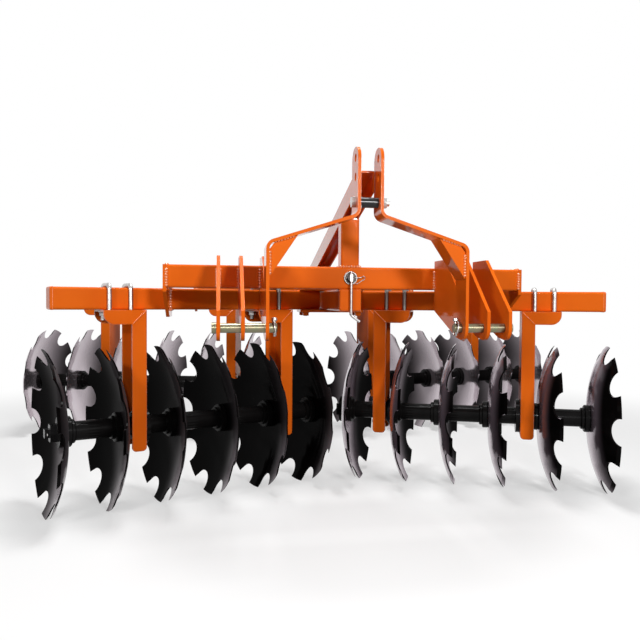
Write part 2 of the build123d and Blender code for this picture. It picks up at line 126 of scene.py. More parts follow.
class Tree:
    """Node tree of a material or of the world."""

    def __init__(self, owner: bpy.types.ID) -> None:
        """Take the owner's node tree and empty it."""
        owner.use_nodes = True
        self.tree = owner.node_tree
        self.tree.nodes.clear()

    def feed(self, target: Socket, value: Any) -> None:
        """Link or set one input socket."""
        if isinstance(value, Signal):
            value = value.socket
        if isinstance(value, Socket):
            self.tree.links.new(value, target)
        elif isinstance(value, tuple) and target.type == "RGBA":
            target.default_value = (*value, 1.0)
        else:
            target.default_value = value

    def node(self, kind: str, inputs: dict[Any, Any] | None = None, **settings: Any) -> bpy.types.Node:
        """Add a node.

        Args:
            kind: Blender's name of the node type.
            inputs: values, sockets or signals by input name or number.
            settings: attributes that are set before the inputs.

        Returns:
            The new node.
        """
        made = self.tree.nodes.new(kind)
        for key, value in settings.items():
            setattr(made, key, value)
        for key, value in (inputs or {}).items():
            self.feed(made.inputs[key], value)
        return made

    def seen(self) -> Signal:
        """Return 1 for rays that show the surface to the camera, straight, mirrored or through glass."""
        path = self.node("ShaderNodeLightPath")
        kinds = ("Is Camera Ray", "Is Glossy Ray", "Is Transmission Ray")
        straight, mirrored, through = (Signal(self, path.outputs[kind]) for kind in kinds)
        return (straight + mirrored + through).clamped()


class Shader(Tree):
    """Node tree of one material, ending in a Principled BSDF."""

    def __init__(self, name: str) -> None:
        """Make an empty material with one surface shader."""
        self.material = bpy.data.materials.new(name)
        super().__init__(self.material)
        self.surface = self.node("ShaderNodeBsdfPrincipled")
        self.output = self.node("ShaderNodeOutputMaterial", {"Surface": self.surface.outputs[0]})
        self.place = self.node("ShaderNodeTexCoord").outputs["Object"]

    def noise(self, scale: float, detail: float = 2.0, roughness: float = 0.5) -> Signal:
        """Return noise of a scale, in cells a metre, on object coordinates."""
        inputs = {"Vector": self.place, "Scale": scale, "Detail": detail, "Roughness": roughness}
        return Signal(self, self.node("ShaderNodeTexNoise", inputs).outputs["Fac"])

    def axes(self) -> tuple[Signal, Signal, Signal]:
        """Return the three object coordinates."""
        parts = self.node("ShaderNodeSeparateXYZ", {0: self.place})
        return tuple(Signal(self, socket) for socket in parts.outputs)

    def blend(self, factor: Any, low: Any, high: Any) -> Socket:
        """Return a mix of two colours."""
        return self.node("ShaderNodeMix", {0: factor, 6: low, 7: high}, data_type="RGBA").outputs[2]

    def grazing(self, low: float, high: float) -> Signal:
        """Return 0 where the surface faces the eye and 1 where it is seen at a low angle."""
        node = self.node("ShaderNodeLayerWeight", {"Blend": 0.5})
        return Signal(self, node.outputs["Facing"]).ramp(low, high)

    def edges(self, radius: float) -> Socket:
        """Return normals that round the edges by a radius in metres."""
        return self.node("ShaderNodeBevel", {"Radius": radius}, samples=4).outputs[0]

    def rounding(self, normal: Any) -> Signal:
        """Return 0 on flat faces and 1 where rounded normals lean well over an edge."""
        true = self.node("ShaderNodeNewGeometry").outputs["Normal"]
        lean = self.node("ShaderNodeVectorMath", {0: normal, 1: true}, operation="DOT_PRODUCT")
        return (1.0 - Signal(self, lean.outputs["Value"])).ramp(0.01, 0.12)

    def bump(self, height: Any, depth: float, normal: Any = None) -> Socket:
        """Return normals bent by a height, with its depth in metres."""
        inputs = {"Height": height, "Distance": depth, "Strength": 1.0}
        if normal is not None:
            inputs["Normal"] = normal
        return self.node("ShaderNodeBump", inputs).outputs[0]

    def finish(self, **sockets: Any) -> Material:
        """Feed the surface shader by socket name, with _ for a space, and return the material."""
        for name, value in sockets.items():
            self.feed(self.surface.inputs[name.replace("_", " ")], value)
        return self.material


@dataclass(frozen=True)
class FramePaint:
    """Glossy orange paint over welded steel.

    Attributes:
        edge_radius: how far the edges look rounded, in metres.
        edge_gloss: how much the rounded edges shine.
        sheen: how much a face shines at a low angle.
        deep: the paint where it lies thick.
    """

    name: str
    edge_radius: float
    edge_gloss: float
    sheen: float = 0.9
    colour: Colour = (0.76, 0.135, 0.008)
    deep: Colour = (0.60, 0.085, 0.004)

    def material(self) -> Material:
        """Return the paint: orange peel, slight mottling and a shine at the edges."""
        shader = Shader(self.name)
        thick = shader.noise(5.0, 3.0).ramp(0.35, 0.75) * 0.45
        rounded = shader.edges(self.edge_radius)
        edge_shine = self.edge_gloss * shader.rounding(rounded)
        face_shine = 0.01 + self.sheen * shader.grazing(0.45, 0.85)
        return shader.finish(
            Base_Color=shader.blend(thick, self.colour, self.deep),
            Roughness=0.24 + 0.14 * shader.noise(30.0, 3.0),
            Normal=shader.bump(shader.noise(420.0), 0.00012, rounded),
            Specular_IOR_Level=0.02,
            Coat_Weight=(edge_shine + face_shine).clamped(),
            Coat_Roughness=0.06,
        )


@dataclass(frozen=True)
class WeldPaint:
    """The frame's paint over the weld ripples, glossier than on the plain faces and lighter than the
    frame's orange as a painted highlight.
    """

    name: str = "weld_orange_painted_highlight"
    # painted highlight: lighter than the frame's orange, so the beads look lit
    colour: Colour = (0.85, 0.22, 0.03)
    deep: Colour = (0.76, 0.14, 0.01)

    def material(self) -> Material:
        """Return the bead paint: glossier than on the plain faces, with a lighter colour as a painted
        highlight.
        """
        shader = Shader(self.name)
        return shader.finish(
            Base_Color=shader.blend(shader.noise(60.0) * 0.6, self.colour, self.deep),
            Roughness=0.25 + 0.1 * shader.noise(90.0),
            Normal=shader.bump(shader.noise(500.0), 0.0001),
            Specular_IOR_Level=0.9,
            Coat_Weight=1.0,
            Coat_IOR=1.7,
            Coat_Roughness=0.07,
        )


@dataclass(frozen=True)
class BladeLacquer:
    """Gloss black lacquer on a pressed disc: at a low angle it turns to a metallic mirror and its colour to
    a pale tint, a painted sheen.

    Attributes:
        mirror_from: how low the angle is where the mirror begins, 0 for face on and 1 for edge on.
        mirror_to: how low it is where the mirror is full.
        mirror: how strong the full mirror is.
        upper: the share of the mirror and painted sheen left on the disc's upper part.
        sheen: the tint of the mirror, also painted into the colour at a low angle.
    """

    name: str
    mirror_from: float
    mirror_to: float
    mirror: float
    upper: float = 1.0
    sheen: Colour = (0.56, 0.49, 0.53)
    colour: Colour = (0.0022, 0.0018, 0.0018)
    dust: Colour = (0.011, 0.0095, 0.0100)

    def material(self) -> Material:
        """Return the lacquer with faint flow marks, a thin bloom of dust and a painted sheen at a low
        angle.
        """
        shader = Shader(self.name)
        bloom = shader.noise(9.0, 4.0, 0.6)
        dusty = (bloom.ramp(0.45, 0.8) * 0.5 + shader.noise(160.0, 3.0) * 0.12).clamped()
        _, _, height = shader.axes()
        # painted sheen: kept mostly on the lower part of the disc, by height
        share = 1.0 - (1.0 - self.upper) * height.ramp(0.06, 0.30)
        sheen_at_low_angle = shader.grazing(self.mirror_from, self.mirror_to) * share
        return shader.finish(
            # painted sheen: the colour turns from black lacquer to the pale tint at a low angle, partly
            # real mirror through Metallic
            Base_Color=shader.blend(sheen_at_low_angle, shader.blend(dusty, self.colour, self.dust), self.sheen),
            Metallic=self.mirror * sheen_at_low_angle,
            Roughness=0.10 + 0.10 * bloom,
            Normal=shader.bump(shader.noise(24.0), 0.0003, shader.edges(0.0007)),
            Specular_IOR_Level=0.0,
            Coat_Weight=0.05,
            Coat_Roughness=0.08,
        )


@dataclass(frozen=True)
class BlackCasting:
    """Black paint over a rough casting."""

    name: str = "spool_black_casting"
    colour: Colour = (0.004, 0.0035, 0.0035)
    worn: Colour = (0.010, 0.009, 0.009)

    def material(self) -> Material:
        """Return the painted casting with its sand texture."""
        shader = Shader(self.name)
        sand = shader.noise(380.0, 4.0, 0.65)
        return shader.finish(
            Base_Color=shader.blend(shader.noise(25.0, 3.0) * 0.5, self.colour, self.worn),
            Roughness=0.30 + 0.2 * sand,
            Normal=shader.bump(sand, 0.0004, shader.edges(0.0015)),
            Specular_IOR_Level=0.02,
            Coat_Weight=0.12 + 0.6 * shader.grazing(0.75, 1.0),
            Coat_Roughness=0.12,
        )


@dataclass(frozen=True)
class Plating:
    """Zinc plating with cloudy tints, painted darker near the middle of the machine as painted shade."""

    name: str
    colour: Colour
    tint: Colour
    middle_shade: float = 0.0
    painted_shade: Colour = (0.20, 0.19, 0.18)

    def material(self) -> Material:
        """Return the plated metal with its cloudy tints, drawn marks and painted shade near the middle."""
        shader = Shader(self.name)
        x, _, _ = shader.axes()
        # painted shade: the colour darkens towards the middle of the machine, where the frame shades the
        # clamps
        middle = 1.0 - (x * x).ramp(0.20, 0.38)
        plate = shader.blend(shader.noise(45.0, 3.0).ramp(0.3, 0.7), self.colour, self.tint)
        return shader.finish(
            Base_Color=shader.blend(self.middle_shade * middle, plate, self.painted_shade),
            Metallic=1.0,
            Roughness=0.22 + 0.16 * shader.noise(140.0, 3.0),
            Normal=shader.bump(shader.noise(600.0), 0.00008, shader.edges(0.0008)),
        )


@dataclass(frozen=True)
class LockPlate:
    """The locking pin: a bright handle before a head and washer painted dark round the axis, with a painted
    highlight ring at the head's edge.

    Attributes:
        washer: the radius of the dark round the axis.
        painted_highlight_ring: the radii between which the head's edge keeps the bright colour, a painted
            highlight.
        handle_squared: the squared distances from the middle where the handle ends and the dark is full.
    """

    name: str = "lock_pin_plate"
    bright: Colour = (0.42, 0.40, 0.39)
    dark: Colour = (0.035, 0.030, 0.028)
    axis_height: float = 0.8043
    washer: float = 0.0235
    painted_highlight_ring: tuple[float, float] = (0.0208, 0.0216)
    handle_squared: tuple[float, float] = (0.000014, 0.000022)

    def material(self) -> Material:
        """Return the plating painted dark round the pin's axis, with a painted highlight ring at the head's
        edge.
        """
        shader = Shader(self.name)
        x, _, z = shader.axes()
        out = (x * x + (z - self.axis_height) ** 2.0) ** 0.5
        inner, outer = self.painted_highlight_ring
        # painted highlight: a ring at the head's edge keeps the bright colour
        off_ring = (1.0 - out.ramp(inner, inner + 0.0004)) + out.ramp(outer, outer + 0.0004)
        on_washer = 1.0 - out.ramp(self.washer, self.washer + 0.0010)
        # dark round the pin's axis, kept off the handle and the painted highlight ring
        dark_round_axis = on_washer * (x * x).ramp(*self.handle_squared) * off_ring
        grain = shader.noise(200.0, 3.0)
        return shader.finish(
            Base_Color=shader.blend(dark_round_axis.clamped(), self.bright, self.dark),
            Metallic=1.0,
            Roughness=0.22 + 0.15 * grain,
            Normal=shader.bump(grain, 0.0001, shader.edges(0.0008)),
        )


@dataclass(frozen=True)
class DarkSteel:
    """Dark oiled or blackened steel."""

    name: str = "dark_steel"
    colour: Colour = (0.008, 0.0075, 0.008)
    worn: Colour = (0.03, 0.028, 0.029)

    def material(self) -> Material:
        """Return the steel with turned marks under oil."""
        shader = Shader(self.name)
        grain = shader.noise(300.0, 3.0)
        return shader.finish(
            Base_Color=shader.blend(grain * 0.5, self.colour, self.worn),
            Roughness=0.28 + 0.2 * grain,
            Normal=shader.bump(grain, 0.0001, shader.edges(0.001)),
            Specular_IOR_Level=0.1,
            Coat_Weight=0.35,
            Coat_Roughness=0.1,
        )


class Palette:
    """Every finish of the machine, made once."""

    def __init__(self) -> None:
        """Make the materials."""
        self.paint = FramePaint("plate_orange_paint", 0.0018, 0.25).material()
        self.hitch = FramePaint("hitch_orange_paint", 0.0018, 0.2, sheen=0.2).material()
        self.section = FramePaint("section_orange_paint", 0.008, 0.9, sheen=0.25).material()
        self.post = FramePaint("post_orange_paint", 0.006, 0.9).material()
        self.weld = WeldPaint().material()
        # three copies of one black lacquer, each with its own painted sheen set for how each gang catches
        # the light
        self.left_blade = BladeLacquer("front_left_blade_lacquer", 0.62, 0.98, 0.8, upper=0.12).material()
        right_blade_sheen = (0.40, 0.31, 0.37)
        self.right_blade = BladeLacquer("front_right_blade_lacquer", 0.56, 0.90, 0.9, sheen=right_blade_sheen).material()
        self.rear_blade = BladeLacquer("rear_blade_lacquer", 0.20, 0.66, 0.9).material()
        self.casting = BlackCasting().material()
        self.dark = DarkSteel().material()
        zinc = ((0.42, 0.405, 0.395), (0.58, 0.565, 0.55))
        self.zinc = Plating("bright_zinc_plate", *zinc).material()
        self.lock = LockPlate().material()
        # the clamps' plating takes painted shade near the middle of the machine
        self.clamp = Plating("clamp_zinc_plate", *zinc, middle_shade=0.9).material()
        self.yellow = Plating("yellow_zinc_plate", (0.235, 0.19, 0.125), (0.20, 0.205, 0.13)).material()

    def of_node(self, name: str, slot: str) -> Material:
        """Return the finish of a CAD node, by its name and the record's material slot."""
        sections = ("hangers", "gang_beam", "upper_cross", "rear_cross", "centre_beam")
        by_start = {"bearings": self.casting, "hitch_plates": self.hitch, "lock_pin": self.lock,
                    "beam_clamps": self.clamp, "mast_post": self.post, sections: self.section}
        for start, finish in by_start.items():
            if name.startswith(start):
                return finish
        front_blade = self.left_blade if name.endswith("left") else self.right_blade
        blade = self.rear_blade if End.REAR.value in name else front_blade
        return {"orange_paint": self.paint, "disc_steel": blade, "black_iron": self.casting,
                "black_steel": self.dark, "bright_zinc": self.zinc, "yellow_zinc": self.yellow}[slot]


# Modelling


class Bench:
    """Modelling by operators, with the result baked into the mesh at the world's origin."""

    @staticmethod
    def clear() -> None:
        """Leave edit mode and deselect everything."""
        if bpy.context.object and bpy.context.object.mode != "OBJECT":
            bpy.ops.object.mode_set(mode="OBJECT")
        bpy.ops.object.select_all(action="DESELECT")

    @classmethod
    def only(cls, piece: Piece) -> None:
        """Make one object the selected and active one."""
        cls.clear()
        piece.select_set(True)
        bpy.context.view_layer.objects.active = piece

    @classmethod
    def cylinder(cls, radius: float, depth: float, vertices: int = 24, base: float = 0.0) -> Piece:
        """Add a cylinder that stands on Z.

        Args:
            radius: its radius, to the corners.
            depth: its height.
            vertices: how many sides it has.
            base: the height of its lower face.

        Returns:
            The object.
        """
        cls.clear()
        middle = (0, 0, base + depth / 2)
        bpy.ops.mesh.primitive_cylinder_add(vertices=vertices, radius=radius, depth=depth, location=middle)
        piece = bpy.context.object
        cls.bake(piece)
        return piece

    @classmethod
    def bake(cls, piece: Piece) -> None:
        """Put an object's transform into its mesh."""
        cls.only(piece)
        bpy.ops.object.transform_apply(location=True, rotation=True, scale=True)

    @classmethod
    def modify(cls, piece: Piece, kind: str, **settings: Any) -> None:
        """Add a modifier with its settings and apply it."""
        cls.only(piece)
        modifier = piece.modifiers.new(kind.lower(), kind)
        for key, value in settings.items():
            setattr(modifier, key, value)
        bpy.ops.object.modifier_apply(modifier=modifier.name)

    @classmethod
    def chamfer(cls, piece: Piece, width: float) -> None:
        """Chamfer the sharp edges."""
        cls.modify(piece, "BEVEL", width=width, segments=1, limit_method="ANGLE")

    @classmethod
    def row(cls, piece: Piece, count: int, step: Point) -> None:
        """Repeat a piece in a row, each time moved on by a step."""
        cls.modify(piece, "ARRAY", count=count, use_relative_offset=False, use_constant_offset=True,
                   constant_offset_displace=step)

    @classmethod
    def pick_all(cls, piece: Piece) -> None:
        """Enter edit mode with everything selected."""
        cls.only(piece)
        bpy.ops.object.mode_set(mode="EDIT")
        bpy.ops.mesh.select_all(action="SELECT")

    @classmethod
    def pick_faces(cls, piece: Piece, test: Callable[[Vector], bool]) -> None:
        """Enter edit mode with the faces selected whose normal passes a test."""
        cls.only(piece)
        bpy.ops.object.mode_set(mode="EDIT")
        bpy.ops.mesh.select_mode(type="FACE")
        bpy.ops.mesh.select_all(action="DESELECT")
        bpy.ops.object.mode_set(mode="OBJECT")
        for face in piece.data.polygons:
            face.select = test(face.normal)
        bpy.ops.object.mode_set(mode="EDIT")

    @classmethod
    def draw_out(cls, piece: Piece, way: int, steps: Iterable[tuple[float, float]]) -> None:
        """Extrude the top or the bottom face.

        Args:
            piece: the piece that stands on Z.
            way: 1 for the top, -1 for the bottom.
            steps: for each step how far it goes, and its width there as a share of the one before.
        """
        cls.pick_faces(piece, lambda normal: normal.z * way > 0.9)
        for rise, share in steps:
            bpy.ops.mesh.extrude_region_move(TRANSFORM_OT_translate={"value": (0, 0, way * rise)})
            bpy.ops.transform.resize(value=(share, share, 1.0))
        cls.clear()

    @classmethod
    def smooth(cls, piece: Piece, angle: float = 35.0) -> None:
        """Shade smooth below an angle in degrees."""
        cls.only(piece)
        bpy.ops.object.shade_smooth_by_angle(angle=radians(angle))

    @classmethod
    def placed(cls, pattern: Piece, places: Iterable[Matrix], name: str) -> Piece:
        """Copy a pattern to several places and join the copies.

        Args:
            pattern: the object that is copied and then removed.
            places: a matrix for each copy.
            name: the name of the joined piece.

        Returns:
            The joined piece.
        """
        made = []
        for place in places:
            copy = pattern.copy()
            copy.data = pattern.data.copy()
            bpy.context.collection.objects.link(copy)
            copy.data.transform(place)
            copy.matrix_world = Matrix.Identity(4)
            made.append(copy)
        bpy.data.objects.remove(pattern, do_unlink=True)
        return cls.joined(made, name)

    @classmethod
    def joined(cls, pieces: Sequence[Piece], name: str) -> Piece:
        """Join pieces into one and name it."""
        cls.clear()
        for piece in pieces:
            piece.select_set(True)
        bpy.context.view_layer.objects.active = pieces[0]
        if len(pieces) > 1:
            bpy.ops.object.join()
        piece = bpy.context.object
        piece.name = name
        piece.data.name = name
        return piece


def dress(piece: Piece, finish: Material,
          body: str = "frame", angle: float = 35.0) -> None:
    """Give a piece its shading, finish, body and material slot.

    Args:
        piece: the new piece.
        finish: its material.
        body: the CAD body that it rides on.
        angle: the angle in degrees below which its faces are shaded smooth.
    """
    Bench.smooth(piece, angle)
    piece.data.materials.clear()
    piece.data.materials.append(finish)
    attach(piece, body)
    LOG.info("%s: %d faces on %s", piece.name, len(piece.data.polygons), body)


def frame_of(origin: Vector, x_axis: Vector, z_axis: Vector) -> Matrix:
    """Return the matrix that puts a pattern at a place.

    Args:
        origin: where the pattern's origin goes.
        x_axis: where its X points.
        z_axis: where its Z points.

    Returns:
        A matrix with a right-handed set of axes.
    """
    z_unit = z_axis.normalized()
    y_unit = z_unit.cross(x_axis).normalized()
    x_unit = y_unit.cross(z_unit)
    turn = Matrix((x_unit, y_unit, z_unit)).transposed().to_4x4()
    return Matrix.Translation(origin) @ turn


class Layout:
    """Sizes and places shared with the solids, in metres."""

    pins: float = -1.0716
    pin_height: float = 0.643
    axle: float = 0.2794
    blade: float = 0.005
    beam_low: float = 0.690
    tube: float = 0.0762
    beam_top: float = beam_low + tube
    tube_top: float = beam_low + 2 * tube
    tube_back: float = 0.270
    rear_tube_back: float = 1.440
    apex: dict[End, float] = {End.FRONT: 0.750, End.REAR: 1.570}
    angle: dict[End, float] = {End.FRONT: -radians(22), End.REAR: radians(14)}
    hanger_wall: float = 0.007
    hitch_plates: tuple[tuple[float, float], ...] = ((0.306, 0.010), (0.377, 0.011), (0.448, 0.011))


@dataclass(frozen=True)
class Gang:
    """Lines of one gang in metres: its first blade, pitch, web past a blade, and the end of its beam."""

    end: End
    side: Side
    first: float
    pitch: float
    web: float
    beam_end: float

    @classmethod
    def all(cls) -> list["Gang"]:
        """Return the four gangs."""
        made = []
        for side in Side:
            made.append(cls(End.FRONT, side, 0.082, 0.1905, 0.116, 1.082))
            made.append(cls(End.REAR, side, 0.320, 0.2286, 0.028, 1.250))
        return made

    @property
    def name(self) -> str:
        """Return the words that end this gang's node names."""
        return f"{self.end.value}_{self.side.name.lower()}"

    @property
    def along(self) -> Vector:
        """Return the unit vector outward along the gang."""
        angle = Layout.angle[self.end]
        return Vector((self.side.value * cos(angle), sin(angle), 0.0))

    @property
    def across(self) -> Vector:
        """Return the level unit vector rearward across the gang."""
        angle = Layout.angle[self.end]
        return Vector((-self.side.value * sin(angle), cos(angle), 0.0))

    def point(self, out: float, back: float, height: float) -> Vector:
        """Return a place from distances along and across the gang and above the floor."""
        apex = Vector((0.0, Layout.pins + Layout.apex[self.end], height))
        return apex + self.along * out + self.across * back

    def webs(self) -> list[float]:
        """Return the places of the two hanger webs along the gang."""
        return [self.first + bay * self.pitch + Layout.blade + self.web for bay in (0, 3)]


@dataclass(frozen=True)
class Seam:
    """One straight run of weld between two places."""

    start: Point | Vector
    stop: Point | Vector

    @classmethod
    def loop(cls, corners: Sequence[Point | Vector]) -> list["Seam"]:
        """Return the runs of a closed ring of corners."""
        return [cls(a, b) for a, b in zip(corners, [*corners[1:], corners[0]])]


def corners_of(half_width: float, low: float, high: float) -> list[tuple[float, float]]:
    """Return the corners of an upright rectangle, in order round it."""
    return [(-half_width, low), (half_width, low), (half_width, high), (-half_width, high)]


@dataclass
class Welding:
    """Lays weld beads as rows of leaning ripples, whose shares are their length, width and height."""

    radius: float
    pitch: float
    lean: float = 28.0
    shares: Point = (0.72, 1.0, 0.86)

    def ripple(self) -> Piece:
        """Return one ripple of a bead, a leaning flattened drop."""
        Bench.clear()
        bpy.ops.mesh.primitive_uv_sphere_add(
            segments=8, ring_count=5, radius=self.radius, rotation=(0, pi / 2, 0))
        drop = bpy.context.object
        Bench.bake(drop)
        Bench.pick_all(drop)
        bpy.ops.transform.resize(value=self.shares)
        bpy.ops.transform.rotate(value=-radians(self.lean), orient_axis="Y", center_override=(0, 0, 0))
        Bench.clear()
        return drop

    def run(self, seam: Seam) -> Piece:
        """Return the bead of one seam."""
        way = Vector(seam.stop) - Vector(seam.start)
        count = max(2, round(way.length / self.pitch))
        bead = self.ripple()
        Bench.row(bead, count, (way.length / count, 0, 0))
        side = UP if abs(way.normalized().z) < 0.9 else Vector((0, 1, 0))
        bead.data.transform(frame_of(Vector(seam.start), way, side.cross(way).cross(way) * -1))
        return bead

    def lay(self, seams: Iterable[Seam], name: str, palette: Palette) -> None:
        """Weld every seam, and paint the beads as one piece of that name."""
        piece = Bench.joined([self.run(seam) for seam in seams], name)
        dress(piece, palette.weld, angle=60.0)


@dataclass
class FrameSeams:
    """Where the frame is welded, in metres.

    Attributes:
        halves: half the length of each cross tube.
        gusset_foot: how far out the upright run at a gusset is, and the heights of its ends.
        gusset_slope: how far out and how high the sloping run starts and ends.
        beam_nose: how far the centre beam stands out before the upper tube.
        mitre: how far past a hanger's web and how high the run at its bend starts and ends.
        margin, hitch_margin: from a corner to the end of a run.
        sunk, hitch_sunk: how far the runs are set off from their faces.
    """

    halves: tuple[float, float] = (0.6169, 0.5601)
    end_plate: float = 0.012
    mast_front: float = 0.030
    gusset_foot: Point = (0.3005, 0.806, 0.876)
    gusset_slope: tuple[float, float, float, float] = (0.283, 0.8985, 0.222, 0.9175)
    post_half: float = 0.0325
    cap: float = 0.009
    beam_nose: float = 0.004
    flange: float = 0.070
    mitre: tuple[float, float, float, float] = (0.003, 0.687, 0.049, 0.641)
    margin: float = 0.008
    hitch_margin: float = 0.006
    sunk: float = 0.0004
    hitch_sunk: float = 0.0005

    def hitch(self) -> list[Seam]:
        """Return the runs where the hitch plates and mast legs meet the upper tube."""
        made = []
        face = Layout.pins + Layout.tube_back - self.hitch_sunk
        low, high = Layout.beam_top + self.hitch_margin, Layout.tube_top - self.hitch_margin
        for side in Side:
            for place, thick in Layout.hitch_plates:
                for edge in (-thick / 2, thick / 2):
                    x = side.value * place + edge
                    made.append(Seam((x, face, low), (x, face, high)))
        return made

    def mast(self) -> list[Seam]:
        """Return the runs at the gussets and at the foot of the post."""
        made = []
        front = Layout.pins - self.mast_front
        foot, low, high = self.gusset_foot
        out, out_height, inner, inner_height = self.gusset_slope
        for side in Side:
            x, outer_x, inner_x = (side.value * place for place in (foot, out, inner))
            made.append(Seam((x, front, low), (x, front, high)))
            made.append(Seam((outer_x, front, out_height), (inner_x, front, inner_height)))
        top = Layout.tube_top + 0.001
        mid = Layout.pins + Layout.tube_back + Layout.tube / 2
        around = corners_of(self.post_half, -self.post_half, self.post_half)
        return made + Seam.loop([(x, mid + y, top) for x, y in around])

    def ends(self) -> list[Seam]:
        """Return the runs round the ends of the cross tubes and where the gang beams pass their plates."""
        made = []
        low, high = Layout.beam_top, Layout.tube_top
        for end, half, back in zip(End, self.halves, (Layout.tube_back, Layout.rear_tube_back)):
            near, far = Layout.pins + back, Layout.pins + back + Layout.tube
            angle = Layout.angle[end]
            deep = Layout.tube / 2 / cos(angle)
            for side in Side:
                x = side.value * (half - self.sunk)
                for y in (near, far):
                    made.append(Seam((x, y, low + self.margin), (x, y, high - self.margin)))
                made.append(Seam((x, near + self.margin, high), (x, far - self.margin, high)))
                for face in (half, half + self.end_plate):
                    mid = Layout.pins + Layout.apex[end] + face * tan(angle)
                    around = corners_of(deep, Layout.beam_low, low)
                    made += Seam.loop([(side.value * face, mid + y, z) for y, z in around])
        return made

    def caps(self) -> list[Seam]:
        """Return the fine seams of the caps that close the tubes."""
        made = []
        half = Layout.tube / 2 - self.sunk
        mid = Layout.beam_low + Layout.tube / 2
        around = corners_of(half, -half, half)
        for gang in Gang.all():
            made += Seam.loop([gang.point(gang.beam_end - self.cap, y, mid + z) for y, z in around])
        front = Layout.pins + Layout.tube_back - self.beam_nose + self.cap
        return made + Seam.loop([(x, front, mid + z) for x, z in around])

    def mitres(self) -> list[Seam]:
        """Return the diagonal runs at the bend of each hanger."""
        inner, inner_height, out, out_height = self.mitre
        return [Seam(gang.point(web + inner, back, inner_height), gang.point(web + out, back, out_height))
                for gang in Gang.all() for web in gang.webs() for back in (-self.flange, self.flange)]

    def build(self, palette: Palette) -> None:
        """Weld the frame."""
        Welding(radius=0.0068, pitch=0.0092).lay(self.hitch() + self.mast(), "mast_welds", palette)
        Welding(radius=0.0068, pitch=0.0090).lay(self.ends(), "frame_welds", palette)
        Welding(radius=0.0018, pitch=0.0034).lay(self.caps(), "cap_welds", palette)
        Welding(radius=0.0028, pitch=0.0042).lay(self.mitres(), "hanger_welds", palette)


@dataclass
class Bolt:
    """A hexagon-headed bolt with washers and a nut, its axis on Z and the seat of its head at the origin.

    Attributes:
        tail: how far the thread goes on past the grip.
        corner, head, nut, washer_width, washer_height, core: shares of the radius.
        lead: from turn to turn of the thread.
    """

    radius: float
    grip: float
    tail: float
    corner: ClassVar[float] = 1.85
    head: ClassVar[float] = 1.25
    nut: ClassVar[float] = 1.6
    washer_width: ClassVar[float] = 2.15
    washer_height: ClassVar[float] = 0.28
    core: ClassVar[float] = 0.92
    lead: ClassVar[float] = 0.0017

    @property
    def under(self) -> float:
        """Return the height of the lower washer's lower face."""
        return -self.grip - self.radius * self.washer_height

    def hexagon(self, depth: float, base: float) -> Piece:
        """Return a head or nut with chamfered corners."""
        nut = Bench.cylinder(self.radius * self.corner, depth, 6, base)
        Bench.pick_faces(nut, lambda normal: abs(normal.z) > 0.9)
        bpy.ops.mesh.inset(thickness=self.radius * 0.16, depth=self.radius * 0.09)
        Bench.clear()
        Bench.chamfer(nut, self.radius * 0.05)
        return nut

    def shank(self) -> Piece:
        """Return the threaded end below the grip, with its turns."""
        low = -self.grip - self.tail
        rod = Bench.cylinder(self.radius * self.core, self.tail + 0.001, 20, low)
        Bench.pick_faces(rod, lambda normal: normal.z < -0.9)
        bpy.ops.mesh.inset(thickness=self.radius * 0.16)
        bpy.ops.transform.translate(value=(0, 0, -self.radius * 0.12))
        turn = Bench.cylinder(self.radius, 0.0009, 20, low + 0.001)
        Bench.chamfer(turn, 0.0004)
        Bench.row(turn, max(2, int((self.tail - 0.001) / self.lead)), (0, 0, self.lead))
        return Bench.joined([rod, turn], "threads")

    def washer(self, base: float) -> Piece:
        """Return a flat washer."""
        ring = Bench.cylinder(self.radius * self.washer_width, self.radius * self.washer_height, 24, base)
        Bench.chamfer(ring, self.radius * 0.07)
        return ring

    def lower_end(self) -> list[Piece]:
        """Return the washer and the nut below the grip."""
        height = self.radius * self.nut
        return [self.washer(self.under), self.hexagon(height, self.under - height)]

    def pattern(self) -> Piece:
        """Return the whole bolt."""
        top = [self.washer(0.0), self.hexagon(self.radius * self.head, self.radius * self.washer_height)]
        return Bench.joined([*top, *self.lower_end(), self.shank()], "bolt")


@dataclass
class ClampHardware:
    """Threads, washers and nuts on the rods below each hanger's arm, which end at low, in metres."""

    rod: float = 0.008
    reach: float = 0.04625
    places: tuple[float, float] = (0.048, 0.120)
    low: float = 0.652
    thread: float = 1.03

    def pattern(self) -> Piece:
        """Return the washer, nut and threads of one rod end, below the origin."""
        bolt = Bolt(self.rod, 0.0, Layout.beam_low - Layout.hanger_wall - self.low - 0.0012)
        nut = bolt.lower_end()
        threads = bolt.shank()
        Bench.pick_all(threads)
        bpy.ops.transform.resize(value=(self.thread, self.thread, 1.0))
        return Bench.joined([*nut, threads], "clamp_end")

    def build(self, palette: Palette) -> None:
        """Fit the nuts of every gang's clamping rods."""
        under = Layout.beam_low - Layout.hanger_wall
        for gang in Gang.all():
            places = [frame_of(gang.point(web + out, back, under), gang.along, UP)
                      for web in gang.webs() for out in self.places for back in (-self.reach, self.reach)]
            dress(Bench.placed(self.pattern(), places, f"clamp_nuts_{gang.name}"), palette.zinc)


